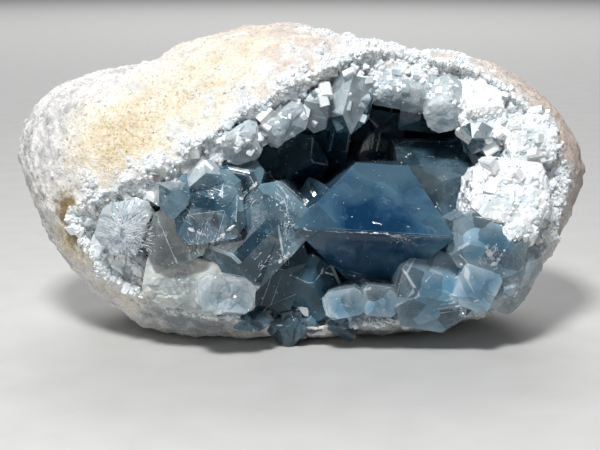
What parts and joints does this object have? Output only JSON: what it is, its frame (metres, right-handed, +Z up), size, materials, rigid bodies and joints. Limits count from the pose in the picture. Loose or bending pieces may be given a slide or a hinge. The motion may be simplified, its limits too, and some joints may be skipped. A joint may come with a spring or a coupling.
{
  "type": "celestite crystal geode",
  "caption": "Pale potato-shaped rock nodule, broken open at the front to show a hollow lined with blocky, translucent blue celestite crystals.",
  "frame": {"origin": "middle of the footprint of the whole piece, on the surface it rests on", "axes": "+X to the right as the viewer faces the open side, -Y out of the open side towards the viewer, +Z up"},
  "size_m": [0.1952, 0.1034, 0.1054],
  "materials": {
    "rock": "rough",
    "celestite": "glossy"
  },
  "bodies": {
    "root": {"rind": "rock", "crystal_crust": "celestite"}
  },
  "joints": []
}
